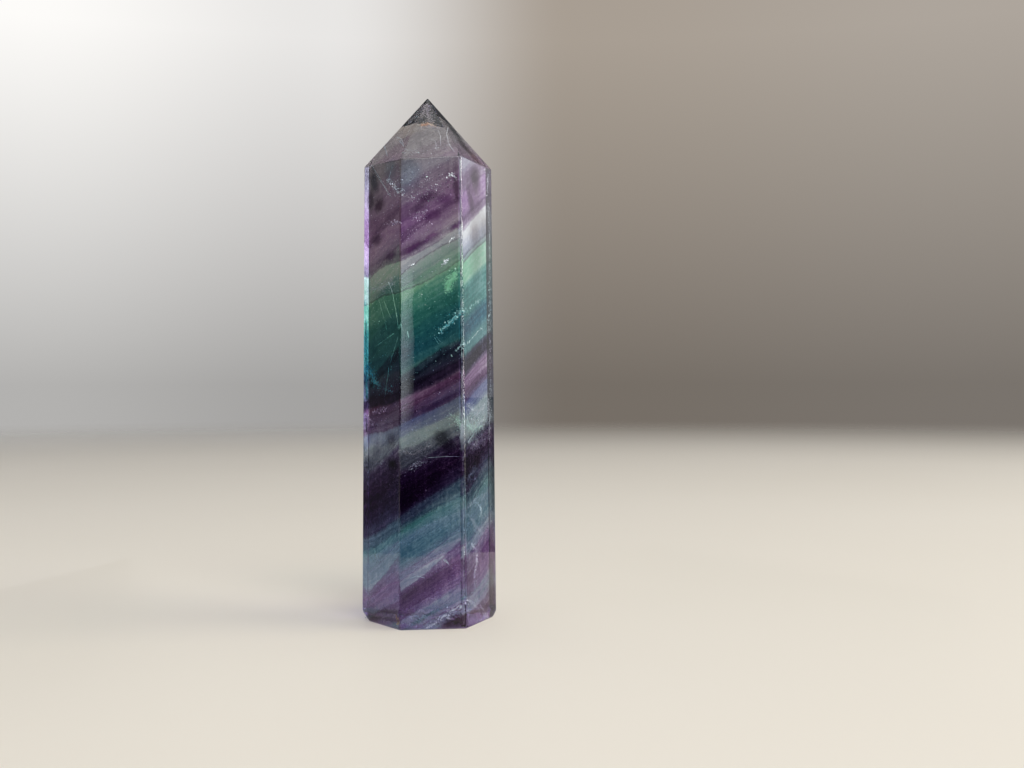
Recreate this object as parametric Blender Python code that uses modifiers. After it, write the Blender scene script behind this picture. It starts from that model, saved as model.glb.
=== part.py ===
"""A polished fluorite point: one six-sided tower of banded crystal that tapers to a six-faced tip.

It is ground here as a cutter grinds it. A rough block is cut flat face by face, first the six sides,
then the six faces of the tip. The edges are then eased, three foot corners are worn round, and three
small chips are taken out. Metres, +Z up, standing on its base with the middle of the base at the origin.
"""

import math

import bmesh
import bpy
from mathutils import Matrix, Vector

MM = 0.001

# Driving dimensions. The easing takes a little off the sharp apex, which leaves the finished point 90 mm tall
NAME = "fluorite_point"
APEX_HEIGHT = 90.10 * MM
SHOULDER = 78.0 * MM
APEX = Vector((-0.15 * MM, -0.08 * MM, APEX_HEIGHT))

# Each ground side: the way it faces, in degrees from +X, and its distance from the axis at base and shoulder
SIDES = {
    "front": (-90.0, 10.07 * MM, 9.80 * MM),
    "front_right": (-30.8, 10.02 * MM, 9.25 * MM),
    "back_right": (30.4, 10.02 * MM, 9.70 * MM),
    "back": (90.0, 10.07 * MM, 9.60 * MM),
    "back_left": (149.8, 10.06 * MM, 9.60 * MM),
    "front_left": (211.1, 9.94 * MM, 9.52 * MM),
}

# How high the tip's faces come down on the edge at the end of each side, going round anticlockwise. The two
# corners of the back stay higher, so through the tip's front face the back side shows below a slanting line
CORNER_HEIGHTS = {
    "front": 78.3 * MM,
    "front_right": 78.0 * MM,
    "back_right": 82.0 * MM,
    "back": 84.0 * MM,
    "back_left": 77.9 * MM,
    "front_left": 77.5 * MM,
}

# The rough block that the faces are ground from
BLOCK_RADIUS = 20.0 * MM
BLOCK_HEIGHT = 108.0 * MM
BLOCK_SIDES = 12

# Easing of the edges, as widths: the foot's rim, the six long edges, the shoulder and the tip's ridges
RIM_EASE = 0.55 * MM
LONG_EASE = 0.30 * MM
SHOULDER_EASE = 0.22 * MM
RIDGE_EASE = 0.12 * MM
EASE_STEPS = 3

# How near an end of an edge lies to the base, the shoulder or the apex for it to count as an edge there
NEAR_END = 0.1 * MM
FOOT_ZONE = 2.0 * MM
SHOULDER_ZONE = 2.0 * MM

# Worn foot corners: the side whose far edge is worn, and how far up the edge the wear reaches
WORN_CORNERS = {"back_left": 1.5 * MM, "front_right": 0.9 * MM, "back_right": 0.7 * MM}
WORN_SLOPE = -0.8

# Chips: the side whose far edge is bitten, a height on that edge, the chip's radius, and its stretch upwards
CHIPS = (
    ("front_left", 1.7 * MM, 0.55 * MM, 1.6),
    ("front", 0.3 * MM, 0.45 * MM, 1.0),
    ("front_right", 69.7 * MM, 0.30 * MM, 1.5),
)
CHIP_OFFSET = 0.45
CHIP_ROUNDNESS = 2
CHIP_TILT = 0.3
CHIP_LEAN = 0.2
CHIP_TWIST = 0.7

# Tolerances of the grinding: the plane's own thickness, points that count as one, and faces that count as flat
PLANE_THICKNESS = 0.0001 * MM
SAME_POINT = 0.02 * MM
SAME_FACE = math.radians(0.5)

# The stone's overall colour and polish
COLOUR = (0.24, 0.17, 0.30, 1.0)
ROUGHNESS = 0.06
CRYSTAL_IOR = 1.434


def side_plane(name):
    """A point on a side and its outward normal. The side leans in from its base reach to its shoulder reach."""
    degrees, base_reach, shoulder_reach = SIDES[name]
    angle = math.radians(degrees)
    out = Vector((math.cos(angle), math.sin(angle), 0.0))
    normal = out * SHOULDER + Vector((0.0, 0.0, base_reach - shoulder_reach))
    return out * base_reach, normal.normalized()


def next_side(name):
    """The side that follows, anticlockwise seen from above."""
    names = list(SIDES)
    return names[(names.index(name) + 1) % len(names)]


def edge_point(name, height):
    """The point at a height on the edge between a side and the next one."""
    point, normal = side_plane(name)
    next_point, next_normal = side_plane(next_side(name))
    level = Vector((0.0, 0.0, 1.0))
    planes = Matrix((normal, next_normal, level))
    distances = Vector((normal.dot(point), next_normal.dot(next_point), height))
    return planes.inverted() @ distances


def tip_plane(name):
    """The tip's face above a side: through the apex and the two corners at the side's top."""
    names = list(SIDES)
    before = names[names.index(name) - 1]
    left = edge_point(before, CORNER_HEIGHTS[before])
    right = edge_point(name, CORNER_HEIGHTS[name])
    normal = (right - left).cross(APEX - left)
    return APEX, normal.normalized()


def outwards(point):
    """The level direction from the axis to a point."""
    return Vector((point.x, point.y, 0.0)).normalized()


def worn_plane(name, reach):
    """The flat that wear leaves on a foot corner, sloping in and down from its reach on the edge."""
    out = outwards(edge_point(name, 0.0))
    return edge_point(name, reach), Vector((out.x, out.y, WORN_SLOPE)).normalized()


def rough_block():
    """The sawn round that the faces are ground from, standing on its base."""
    block = bmesh.new()
    bmesh.ops.create_cone(
        block,
        cap_ends=True,
        segments=BLOCK_SIDES,
        radius1=BLOCK_RADIUS,
        radius2=BLOCK_RADIUS,
        depth=BLOCK_HEIGHT,
        matrix=Matrix.Translation((0.0, 0.0, BLOCK_HEIGHT / 2.0)),
    )
    return block


def grind(block, point, normal):
    """Cuts away what lies outside a plane and closes the cut with one flat face."""
    geometry = block.verts[:] + block.edges[:] + block.faces[:]
    cut = bmesh.ops.bisect_plane(
        block, geom=geometry, dist=PLANE_THICKNESS, plane_co=point, plane_no=normal, clear_outer=True
    )
    edges = [e for e in cut["geom_cut"] if isinstance(e, bmesh.types.BMEdge)]
    bmesh.ops.edgenet_fill(block, edges=edges)
    bmesh.ops.recalc_face_normals(block, faces=block.faces)


def ease_of(edge):
    """The width by which an edge is eased, from where it lies on the point."""
    low, high = sorted(v.co.z for v in edge.verts)
    if low < NEAR_END:
        return RIM_EASE if high < FOOT_ZONE else LONG_EASE
    if high > APEX_HEIGHT - NEAR_END:
        return RIDGE_EASE
    if low > SHOULDER - SHOULDER_ZONE:
        return SHOULDER_EASE
    return LONG_EASE


def ground_mesh():
    """The point with all its faces ground and its edges still sharp, with each edge's easing as a weight."""
    block = rough_block()
    for name in SIDES:
        grind(block, *side_plane(name))
    for name in SIDES:
        grind(block, *tip_plane(name))
    for name, reach in WORN_CORNERS.items():
        grind(block, *worn_plane(name, reach))
    bmesh.ops.remove_doubles(block, verts=block.verts, dist=SAME_POINT)
    bmesh.ops.dissolve_limit(block, angle_limit=SAME_FACE, verts=block.verts, edges=block.edges)
    mesh = bpy.data.meshes.new(NAME)
    block.to_mesh(mesh)
    weights = mesh.attributes.new("bevel_weight_edge", "FLOAT", "EDGE")
    block.edges.ensure_lookup_table()
    for edge in block.edges:
        weights.data[edge.index].value = ease_of(edge) / RIM_EASE
    block.free()
    return mesh


def crystal_material():
    """See-through violet crystal with a wet polish."""
    material = bpy.data.materials.new("polished_fluorite")
    material.use_nodes = True
    shader = material.node_tree.nodes["Principled BSDF"]
    shader.inputs["Base Color"].default_value = COLOUR
    shader.inputs["Roughness"].default_value = ROUGHNESS
    shader.inputs["Metallic"].default_value = 0.0
    shader.inputs["IOR"].default_value = CRYSTAL_IOR
    shader.inputs["Transmission Weight"].default_value = 1.0
    return material


def add_easing(point):
    """Eases every edge by its own width."""
    bevel = point.modifiers.new("eased_edges", "BEVEL")
    bevel.width = RIM_EASE
    bevel.segments = EASE_STEPS
    bevel.limit_method = "WEIGHT"
    bevel.use_clamp_overlap = True


def chip_cutter(index, name, height, radius, stretch, cutters):
    """A faceted scoop that bites into an edge at a height, each turned its own way."""
    place = edge_point(name, height)
    bpy.ops.mesh.primitive_ico_sphere_add(subdivisions=CHIP_ROUNDNESS, radius=radius)
    cutter = bpy.context.object
    cutter.name = f"chip_{index}"
    cutter.scale = (1.0, 1.0, stretch)
    cutter.rotation_euler = (CHIP_TILT * index, CHIP_LEAN, CHIP_TWIST * index)
    cutter.location = place + outwards(place) * radius * CHIP_OFFSET
    cutter.display_type = "WIRE"
    cutter.hide_render = True
    for collection in list(cutter.users_collection):
        collection.objects.unlink(cutter)
    cutters.objects.link(cutter)
    return cutter


def add_chips(point, cutters):
    """Takes the chips out of the eased edges."""
    for index, chip in enumerate(CHIPS):
        bite = point.modifiers.new(f"chip_{index}", "BOOLEAN")
        bite.operation = "DIFFERENCE"
        bite.object = chip_cutter(index, *chip, cutters)


def new_collection(name):
    """A collection of that name in the scene."""
    collection = bpy.data.collections.new(name)
    bpy.context.scene.collection.children.link(collection)
    return collection


def main():
    for thing in list(bpy.data.objects):
        bpy.data.objects.remove(thing, do_unlink=True)
    parts = new_collection("fluorite point")
    cutters = new_collection("cutters")
    point = bpy.data.objects.new(NAME, ground_mesh())
    parts.objects.link(point)
    point.data.materials.append(crystal_material())
    add_easing(point)
    add_chips(point, cutters)


main()
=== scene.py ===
# %% [markdown]
# # A polished fluorite point
#
# This lesson dresses one piece of banded fluorite: a six-sided tower that a cutter ground and polished so
# that it ends in a six-faced tip. The shape is already fixed by the frame, so the lesson is about what makes
# clear, coloured stone look like stone: light that goes through it, colour that lies in slanting growth
# zones, and the small flaws that catch the light.

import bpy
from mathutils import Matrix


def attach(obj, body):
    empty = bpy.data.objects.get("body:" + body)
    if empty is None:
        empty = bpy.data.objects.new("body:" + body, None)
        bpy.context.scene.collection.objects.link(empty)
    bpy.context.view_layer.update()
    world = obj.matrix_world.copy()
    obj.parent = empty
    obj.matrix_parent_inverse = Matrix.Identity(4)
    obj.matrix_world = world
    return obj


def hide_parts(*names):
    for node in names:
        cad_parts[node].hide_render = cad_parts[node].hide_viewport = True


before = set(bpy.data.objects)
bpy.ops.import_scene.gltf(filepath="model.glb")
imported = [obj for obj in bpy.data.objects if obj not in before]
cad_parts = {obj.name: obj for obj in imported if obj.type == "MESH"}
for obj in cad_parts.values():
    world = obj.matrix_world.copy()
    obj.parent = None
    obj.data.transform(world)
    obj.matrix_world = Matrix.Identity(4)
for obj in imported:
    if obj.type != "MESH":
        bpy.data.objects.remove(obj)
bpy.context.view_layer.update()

# %% Modules and units
import math
import random

import bmesh
import bpy
from mathutils import Matrix, Vector, noise

MM = 0.001
NODE = "fluorite_point"
scene = bpy.context.scene

# %% [markdown]
# ## The camera
#
# The stone was seen from the front, a little to its left, by a level camera at about half its height. A long
# lens from far away would hide the perspective. The real camera was close, so the side faces narrow and the
# tip leans back, and the lens and place below keep that.

# %% The camera at the photograph's angle
CAMERA_PLACE = Vector((-10.45, -202.15, 40.52)) * MM
CAMERA_TURN = math.radians(-7.03)
CAMERA_ROLL = math.radians(-0.14)
LENS = 40.92
SENSOR = 36.0
CLIP_START = 5.0 * MM
CLIP_END = 20.0

camera_data = bpy.data.cameras.new("camera")
camera_data.lens = LENS
camera_data.sensor_width = SENSOR
camera_data.clip_start = CLIP_START
camera_data.clip_end = CLIP_END
camera = bpy.data.objects.new("camera", camera_data)
scene.collection.objects.link(camera)
CAMERA_POSE = (
    Matrix.Translation(CAMERA_PLACE)
    @ Matrix.Rotation(CAMERA_TURN, 4, "Z")
    @ Matrix.Rotation(math.radians(90.0), 4, "X")
    @ Matrix.Rotation(CAMERA_ROLL, 4, "Z")
)
camera.matrix_world = CAMERA_POSE
scene.camera = camera
print("camera", [round(c / MM, 1) for c in CAMERA_PLACE], "mm, lens", LENS, "mm")

# %% [markdown]
# ## Small helpers
#
# A material is a graph. Writing each node on its own line with its inputs beside it keeps the graph readable,
# so one helper makes a node, sets its options and either links or fills its inputs. Two more point a thing
# in a direction and turn a finished body into a piece of the scene.

# %% Helpers that make nodes and fill their inputs
def fill(tree, node, inputs):
    """Links or sets a node's inputs. A key is a socket's name or its number."""
    for key, value in inputs.items():
        if isinstance(value, bpy.types.NodeSocket):
            tree.links.new(value, node.inputs[key])
        else:
            node.inputs[key].default_value = value


def add(tree, kind, inputs=None, **options):
    """Adds a node, sets its options and fills its inputs."""
    node = tree.nodes.new(kind)
    for option, value in options.items():
        setattr(node, option, value)
    fill(tree, node, inputs or {})
    return node


def maths(tree, operation, first, second=0.0, third=0.0):
    """The output of one Math node."""
    return add(tree, "ShaderNodeMath", {0: first, 1: second, 2: third}, operation=operation).outputs[0]


def vector_maths(tree, operation, inputs, output="Vector"):
    """An output of one Vector Math node."""
    return add(tree, "ShaderNodeVectorMath", inputs, operation=operation).outputs[output]


def colour_of(value):
    """A socket as it is, or three numbers as a colour with full alpha."""
    return value if isinstance(value, bpy.types.NodeSocket) else (*value, 1.0)


def mix(tree, factor, first, second, blend="MIX"):
    """The colour output of one Mix node. Its colour sockets share names with others, so they go by number."""
    inputs = {0: factor, 6: colour_of(first), 7: colour_of(second)}
    return add(tree, "ShaderNodeMix", inputs, data_type="RGBA", blend_type=blend).outputs[2]


def ramp_between(tree, value, low, high):
    """A value's place between two limits, from 0 to 1, eased at both."""
    inputs = {0: value, 1: low, 2: high}
    return add(tree, "ShaderNodeMapRange", inputs, interpolation_type="SMOOTHSTEP").outputs[0]


def fade_between(tree, value, low, high):
    """The same ramp turned round, from 1 to 0."""
    return maths(tree, "SUBTRACT", 1.0, ramp_between(tree, value, low, high))


def noise_of(tree, vector, scale, detail, roughness=0.5, distortion=0.0, output="Fac"):
    """A noise around one half that is laid through space."""
    inputs = {"Vector": vector, "Scale": scale, "Detail": detail, "Roughness": roughness}
    return add(tree, "ShaderNodeTexNoise", {**inputs, "Distortion": distortion}).outputs[output]


def place_on_piece(tree):
    """Object coordinates, in metres."""
    return add(tree, "ShaderNodeTexCoord").outputs["Object"]


def new_material(name):
    """A material with its tree and its Principled shader."""
    material = bpy.data.materials.new(name)
    material.use_nodes = True
    return material, material.node_tree, material.node_tree.nodes["Principled BSDF"]


def empty_material(name):
    """A material with an empty tree, for a shader of another kind."""
    material, tree, _ = new_material(name)
    tree.nodes.clear()
    return material, tree


def new_group(name, inputs, outputs):
    """A node group with named sockets, each with its type: the group, what it is given, and its last node."""
    group = bpy.data.node_groups.new(name, "ShaderNodeTree")
    for way, sockets in (("INPUT", inputs), ("OUTPUT", outputs)):
        for label, kind in sockets.items():
            group.interface.new_socket(label, in_out=way, socket_type=f"NodeSocket{kind}")
    return group, group.nodes.new("NodeGroupInput").outputs, group.nodes.new("NodeGroupOutput")


def use_group(tree, group, inputs):
    """The outputs of a group placed in a tree."""
    return add(tree, "ShaderNodeGroup", inputs, node_tree=group).outputs


# %% Helpers that point a thing and make a piece
def facing(direction):
    """The turn that points +Z in a direction."""
    return direction.to_track_quat("Z", "Y").to_matrix().to_4x4()


def piece_from(name, body):
    """A piece of the scene made of a bmesh, which is freed."""
    mesh = bpy.data.meshes.new(name)
    body.to_mesh(mesh)
    open_edges = sum(not e.is_manifold for e in body.edges)
    body.free()
    piece = bpy.data.objects.new(name, mesh)
    scene.collection.objects.link(piece)
    print(name, len(mesh.polygons), "faces,", open_edges, "open edges")
    return piece


# %% [markdown]
# ## The light
#
# See-through stone has hardly any look of its own: it shows what is behind it, bent and filtered. So the
# surroundings matter more than the lamps. Behind the stone they are pale on the left and dim to a warm
# brown-grey on the right, and they brighten upwards. The left face looks out to the right and turns dark; the
# right face looks out to the left and turns pale.

# %% Soft surroundings
# The light at eye level: an azimuth, anticlockwise in degrees from the stone's right, and the colour there
SURROUNDINGS = (
    (-180.0, (0.20, 0.21, 0.22)),
    (-140.0, (0.12, 0.12, 0.13)),
    (-100.0, (0.05, 0.05, 0.055)),
    (-60.0, (0.07, 0.07, 0.075)),
    (-20.0, (0.45, 0.44, 0.43)),
    (10.0, (1.10, 1.08, 1.10)),
    (22.0, (1.75, 1.80, 2.00)),
    (30.0, (1.65, 1.70, 1.90)),
    (34.0, (0.95, 0.92, 0.95)),
    (47.0, (0.40, 0.37, 0.35)),
    (60.0, (0.29, 0.26, 0.23)),
    (80.0, (0.27, 0.235, 0.20)),
    (92.0, (0.56, 0.55, 0.54)),
    (106.0, (0.68, 0.67, 0.655)),
    (122.0, (0.78, 0.79, 0.80)),
    (138.0, (0.55, 0.57, 0.58)),
    (150.0, (0.11, 0.12, 0.13)),
    (180.0, (0.20, 0.21, 0.22)),
)
# How the light changes upwards, by the sine of the elevation: its slope and limits, and the dim ring overhead
LIGHT_AT_HORIZON = 0.66
LIGHT_SLOPE = 2.8
LIGHT_LEAST = 0.66
LIGHT_MOST = 1.45
DIM_RING_FROM = 0.34
DIM_RING_TO = 0.46
DIM_RING_LIGHT = (0.13, 0.13, 0.14)


def surroundings_world():
    """Surroundings that change smoothly with the azimuth and brighten upwards, with a dim ring overhead."""
    world = bpy.data.worlds.new("surroundings")
    world.use_nodes = True
    tree = world.node_tree
    tree.nodes.clear()
    direction = add(tree, "ShaderNodeTexCoord").outputs["Generated"]
    right, away, up = add(tree, "ShaderNodeSeparateXYZ", {0: direction}).outputs
    azimuth = maths(tree, "DEGREES", maths(tree, "ARCTAN2", away, right))
    light = SURROUNDINGS[0][1]
    for (start, _), (end, colour) in zip(SURROUNDINGS, SURROUNDINGS[1:]):
        light = mix(tree, ramp_between(tree, azimuth, start, end), light, colour)
    rising = maths(tree, "MULTIPLY_ADD", up, LIGHT_SLOPE, LIGHT_AT_HORIZON)
    rising = maths(tree, "MINIMUM", maths(tree, "MAXIMUM", rising, LIGHT_LEAST), LIGHT_MOST)
    grey = add(tree, "ShaderNodeCombineXYZ", {0: rising, 1: rising, 2: rising}).outputs[0]
    light = mix(tree, 1.0, light, grey, blend="MULTIPLY")
    light = mix(tree, ramp_between(tree, up, DIM_RING_FROM, DIM_RING_TO), light, DIM_RING_LIGHT)
    background = add(tree, "ShaderNodeBackground", {"Color": light, "Strength": 1.0})
    add(tree, "ShaderNodeOutputWorld", {"Surface": background.outputs[0]})
    return world


scene.world = surroundings_world()
scene.view_settings.view_transform = "Standard"
scene.view_settings.look = "None"
print("surroundings from", len(SURROUNDINGS), "directions")

# %% Softboxes
AIM = Vector((0.0, 0.0, 45.0 * MM))


def away_from_stone(azimuth, elevation=0.0):
    """The direction away from the stone at an azimuth and an elevation in degrees."""
    turn, lift = math.radians(azimuth), math.radians(elevation)
    return Vector((math.cos(turn) * math.cos(lift), math.sin(turn) * math.cos(lift), math.sin(lift)))


def softbox(name, azimuth, elevation, distance, width, height, brightness, colour):
    """A soft rectangular lamp aimed at the stone's middle. Its brightness is what a mirror would show."""
    away = away_from_stone(azimuth, elevation)
    data = bpy.data.lights.new(name, "AREA")
    data.shape = "RECTANGLE"
    data.size = width
    data.size_y = height
    data.energy = brightness * math.pi * width * height
    data.color = colour
    lamp = bpy.data.objects.new(name, data)
    lamp.visible_camera = False
    scene.collection.objects.link(lamp)
    lamp.matrix_world = Matrix.Translation(AIM + away * distance) @ facing(away)
    return lamp


# Each lamp: its azimuth, elevation and distance, its width and height, its brightness and its colour
softbox("key_light", -8.0, 30.0, 0.9, 0.40, 0.60, 4.0, (1.0, 0.98, 0.95))
softbox("fill_light", -74.0, 50.0, 1.1, 0.60, 0.50, 7.0, (1.0, 0.99, 0.97))
softbox("top_light", 90.0, 88.0, 1.0, 0.60, 0.60, 1.7, (1.0, 1.0, 1.0))
# The edge light is there for the eased edges alone, which mirror it as a thin bright line
edge_light = softbox("edge_light", -27.0, 4.0, 1.2, 0.42, 0.60, 11.0, (1.0, 0.99, 0.98))
edge_light.visible_transmission = False

# %% [markdown]
# ## The surface it stands on
#
# A plain pale floor lies a hair below the base, so that the two never share a plane. It is part of the stage
# and not of the stone. It thins out with distance, which leaves no hard horizon for the stone to bend.

# %% A plain pale floor
FLOOR_DROP = 0.03 * MM
FLOOR_SIZE = 1.6
FLOOR_FADE_FROM = 0.42
FLOOR_FADE_TO = 1.15
FLOOR_ROUGHNESS = 0.6
# The two tints that the paint clouds between, and the scale and detail of the clouds
FLOOR_TINTS = ((0.80, 0.75, 0.65), (0.84, 0.79, 0.70))
FLOOR_NOISE = (6.0, 3.0)


def floor_material():
    """Pale cream paint with a satin finish that thins out with distance."""
    material, tree, shader = new_material("cream_paint")
    place = place_on_piece(tree)
    away = vector_maths(tree, "LENGTH", {0: place}, "Value")
    fill(tree, shader, {
        "Base Color": mix(tree, noise_of(tree, place, *FLOOR_NOISE), *FLOOR_TINTS),
        "Roughness": FLOOR_ROUGHNESS,
        "Alpha": fade_between(tree, away, FLOOR_FADE_FROM, FLOOR_FADE_TO),
    })
    return material


def flat_sheet(name, width, depth, pose, material):
    """A flat rectangle placed by a matrix, as a piece of the stage."""
    sheet = bmesh.new()
    bmesh.ops.create_grid(sheet, x_segments=1, y_segments=1, size=0.5)
    sheet.transform(pose @ Matrix.Diagonal((width, depth, 1.0, 1.0)))
    piece = piece_from(name, sheet)
    piece.data.materials.append(material)
    return piece


under_base = Matrix.Translation((0.0, 0.0, -FLOOR_DROP))
flat_sheet("floor", 2 * FLOOR_SIZE, 2 * FLOOR_SIZE, under_base, floor_material())
print("floor fades from", FLOOR_FADE_FROM, "to", FLOOR_FADE_TO, "m")

# %% [markdown]
# ## Cards that only reflections see
#
# Polished stone mirrors the floor around it, and that pale sheen drowns its dark zones. A photographer lays
# dark cards just outside the picture to keep them dark, and stands a bright strip where a soft reflection is
# wanted. These cards do the same. Only mirror reflections see them.

# %% Dark cards
DARK_CARD = (0.02, 0.02, 0.022)
GREY_CARD = (0.10, 0.10, 0.10)
# The grey cards that stand beside the stone: their azimuths in degrees, and their distance and size
SIDE_CARDS = {"left_card": 156.0, "right_card": 30.0}
CARD_DISTANCE = 92.0 * MM
CARD_WIDTH = 90.0 * MM
CARD_HEIGHT = 38.0 * MM
# The dark card that lies in front, as far as the stone mirrors the floor there
FRONT_CARD_PLACE = (0.0, -621.0 * MM, 0.5 * MM)
FRONT_CARD_WIDTH = 300.0 * MM
FRONT_CARD_DEPTH = 1058.0 * MM


def add_glow(tree, colour, strength=1.0):
    """Makes the whole surface of a material nothing but light."""
    glow = add(tree, "ShaderNodeEmission", {"Color": colour_of(colour), "Strength": strength})
    add(tree, "ShaderNodeOutputMaterial", {"Surface": glow.outputs[0]})


def card_material(name, colour):
    """A card that glows with the light that a reflection should show."""
    material, tree = empty_material(name)
    add_glow(tree, colour)
    return material


def only_in_reflections(piece):
    """Hides a piece from everything except mirror reflections."""
    for ray in ("camera", "diffuse", "transmission", "volume_scatter", "shadow"):
        setattr(piece, f"visible_{ray}", False)


grey = card_material("grey_card", GREY_CARD)
for name, azimuth in SIDE_CARDS.items():
    away = away_from_stone(azimuth)
    middle = away * CARD_DISTANCE + Vector((0.0, 0.0, CARD_HEIGHT / 2))
    standing = Matrix.Translation(middle) @ facing(away)
    only_in_reflections(flat_sheet(name, CARD_WIDTH, CARD_HEIGHT, standing, grey))
lying = Matrix.Translation(FRONT_CARD_PLACE)
dark = card_material("dark_card", DARK_CARD)
only_in_reflections(flat_sheet("front_card", FRONT_CARD_WIDTH, FRONT_CARD_DEPTH, lying, dark))

# %% The bright strip
STRIP_LIGHT = (3.4, 3.7, 4.0)
STRIP_PLACE = Vector((-4.0, -262.0, 51.0)) * MM
STRIP_WIDTH = 22.0 * MM
STRIP_HEIGHT = 86.0 * MM
# Where its light fades out, by how far right of the stone's axis and how high a place on it lies
STRIP_RIGHT_EDGE = 2.6 * MM
STRIP_SLANT = 0.055
STRIP_SOFTNESS = 6.5 * MM
STRIP_LOW_END = (6.0 * MM, 40.0 * MM)
STRIP_HIGH_END = (78.0 * MM, 90.0 * MM)


def strip_material():
    """A glowing strip whose right side and ends fade."""
    material, tree = empty_material("bright_strip")
    across, _, height = add(tree, "ShaderNodeSeparateXYZ", {0: place_on_piece(tree)}).outputs
    edge = maths(tree, "MULTIPLY_ADD", height, -STRIP_SLANT, across)
    half = STRIP_SOFTNESS / 2
    inside = fade_between(tree, edge, STRIP_RIGHT_EDGE - half, STRIP_RIGHT_EDGE + half)
    low = ramp_between(tree, height, *STRIP_LOW_END)
    high = fade_between(tree, height, *STRIP_HIGH_END)
    add_glow(tree, STRIP_LIGHT, maths(tree, "MULTIPLY", inside, maths(tree, "MULTIPLY", low, high)))
    return material


upright = Matrix.Translation(STRIP_PLACE) @ Matrix.Rotation(math.radians(90.0), 4, "X")
only_in_reflections(flat_sheet("bright_strip", STRIP_WIDTH, STRIP_HEIGHT, upright, strip_material()))

# %% [markdown]
# ## Where a point lies in the growth of the crystal
#
# Fluorite grows layer on layer, and each layer keeps the colour of the water it grew from. The cutter's faces
# then slice the layers at a slant. So colour is a function of one number, the height of a point above the
# first layer, and that number is worked out from the point's place. Because it's a place in space and not on
# the surface, the bands meet at every edge of the stone as they do on a real one.

# %% The growth level, in millimetres
# A layer's level is how high it crosses the middle line of the front face. From there it climbs to the right,
# each layer by its own amount. Away from the front face it climbs more the higher it lies, because the layers
# fan out towards the tip.
FRONT_FACE = 10.0
USUAL_CLIMB = 0.58
CLIMB_AWAY = -0.08
CLIMB_FAN = 0.0047
# Slow waves of the layers: height in millimetres, and turn in radians for each millimetre along X, Y and Z
WAVES = (
    (0.38, (0.33, 0.15, 0.05)),
    (0.24, (-0.21, 0.52, 0.11)),
)
# The fine ripple: its height in millimetres, and the scale, detail and roughness of its noise
RIPPLE_HEIGHT = 0.9
RIPPLE_NOISE = (0.9, 4.0, 0.6)


def wave_height(x, y, z):
    """The slow waves' height at a place in millimetres. The node group below works out the same sum."""
    return sum(height * math.sin(a * x + b * y + c * z) for height, (a, b, c) in WAVES)


def layer_height(level, climb, x, y):
    """How high, in millimetres, the layer of a growth level lies above a place on the base."""
    behind = y + FRONT_FACE
    straight = (level + climb * x + CLIMB_AWAY * behind) / (1.0 - CLIMB_FAN * behind)
    return straight - wave_height(x, y, straight)


def growth_level_group():
    """Object coordinates in metres to the growth level in millimetres, with slow waves and a fine ripple.

    Height is the level before the climb to the right is taken off, and Across is the place to the right.
    """
    group, given, result = new_group(
        "growth_level",
        {"Vector": "Vector", "Ripple": "Float"},
        {"Level": "Float", "Height": "Float", "Across": "Float", "Millimetres": "Vector"},
    )
    place = vector_maths(group, "SCALE", {0: given["Vector"], "Scale": 1.0 / MM})
    x, y, z = add(group, "ShaderNodeSeparateXYZ", {0: place}).outputs
    behind = maths(group, "ADD", y, FRONT_FACE)
    climb = maths(group, "MULTIPLY_ADD", z, CLIMB_FAN, CLIMB_AWAY)
    height = maths(group, "SUBTRACT", z, maths(group, "MULTIPLY", behind, climb))
    for size, along in WAVES:
        phase = vector_maths(group, "DOT_PRODUCT", {0: place, 1: along}, "Value")
        height = maths(group, "MULTIPLY_ADD", maths(group, "SINE", phase), size, height)
    fine = maths(group, "SUBTRACT", noise_of(group, place, *RIPPLE_NOISE), 0.5)
    height = maths(group, "MULTIPLY_ADD", fine, given["Ripple"], height)
    level = maths(group, "MULTIPLY_ADD", x, -USUAL_CLIMB, height)
    fill(group, result, {"Level": level, "Height": height, "Across": x, "Millimetres": place})
    return group


GROWTH_LEVEL = growth_level_group()

# %% [markdown]
# ## The pigments and the zones
#
# Only a few pigments colour this stone, and they come back again and again: violets, greens and greyed blues,
# from nearly clear to nearly black. Each is given as the share of red, green and blue light that gets through
# 20 mm of it, the way a filter maker would state it.

# %% The pigments
CLEAR = (0.92, 0.95, 0.98)
ASH = (0.58, 0.62, 0.74)
FLINT = (0.31, 0.37, 0.47)
SMOKE = (0.23, 0.22, 0.255)
AMBER = (0.48, 0.43, 0.37)
SHADOW = (0.08, 0.09, 0.11)
SAGE = (0.44, 0.57, 0.62)
LILAC = (0.38, 0.36, 0.45)
BLUE_LILAC = (0.16, 0.19, 0.42)
PALE_MIST = (0.23, 0.24, 0.46)
MIST = (0.26, 0.31, 0.48)
HAZE = (0.15, 0.20, 0.34)
ROSE = (0.36, 0.20, 0.40)
VIOLET = (0.34, 0.19, 0.41)
DUSKY_VIOLET = (0.20, 0.13, 0.23)
DARK_VIOLET = (0.13, 0.07, 0.16)
GRAPE = (0.105, 0.045, 0.20)
DEEP_GRAPE = (0.06, 0.02, 0.11)
PLUM = (0.05, 0.013, 0.06)
NIGHT = (0.003, 0.002, 0.010)
MIDNIGHT = (0.006, 0.0015, 0.014)
DUSK = (0.016, 0.006, 0.035)
INDIGO = (0.030, 0.045, 0.100)
SLATE = (0.07, 0.16, 0.26)
BLUE_GREY = (0.11, 0.20, 0.33)
SEA_GREEN = (0.07, 0.20, 0.24)
CHARCOAL = (0.065, 0.075, 0.125)
LEAF = (0.30, 0.66, 0.44)
TEAL = (0.045, 0.25, 0.225)
STEEL = (0.08, 0.27, 0.28)
DEEP_SEA = (0.008, 0.10, 0.16)

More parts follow.
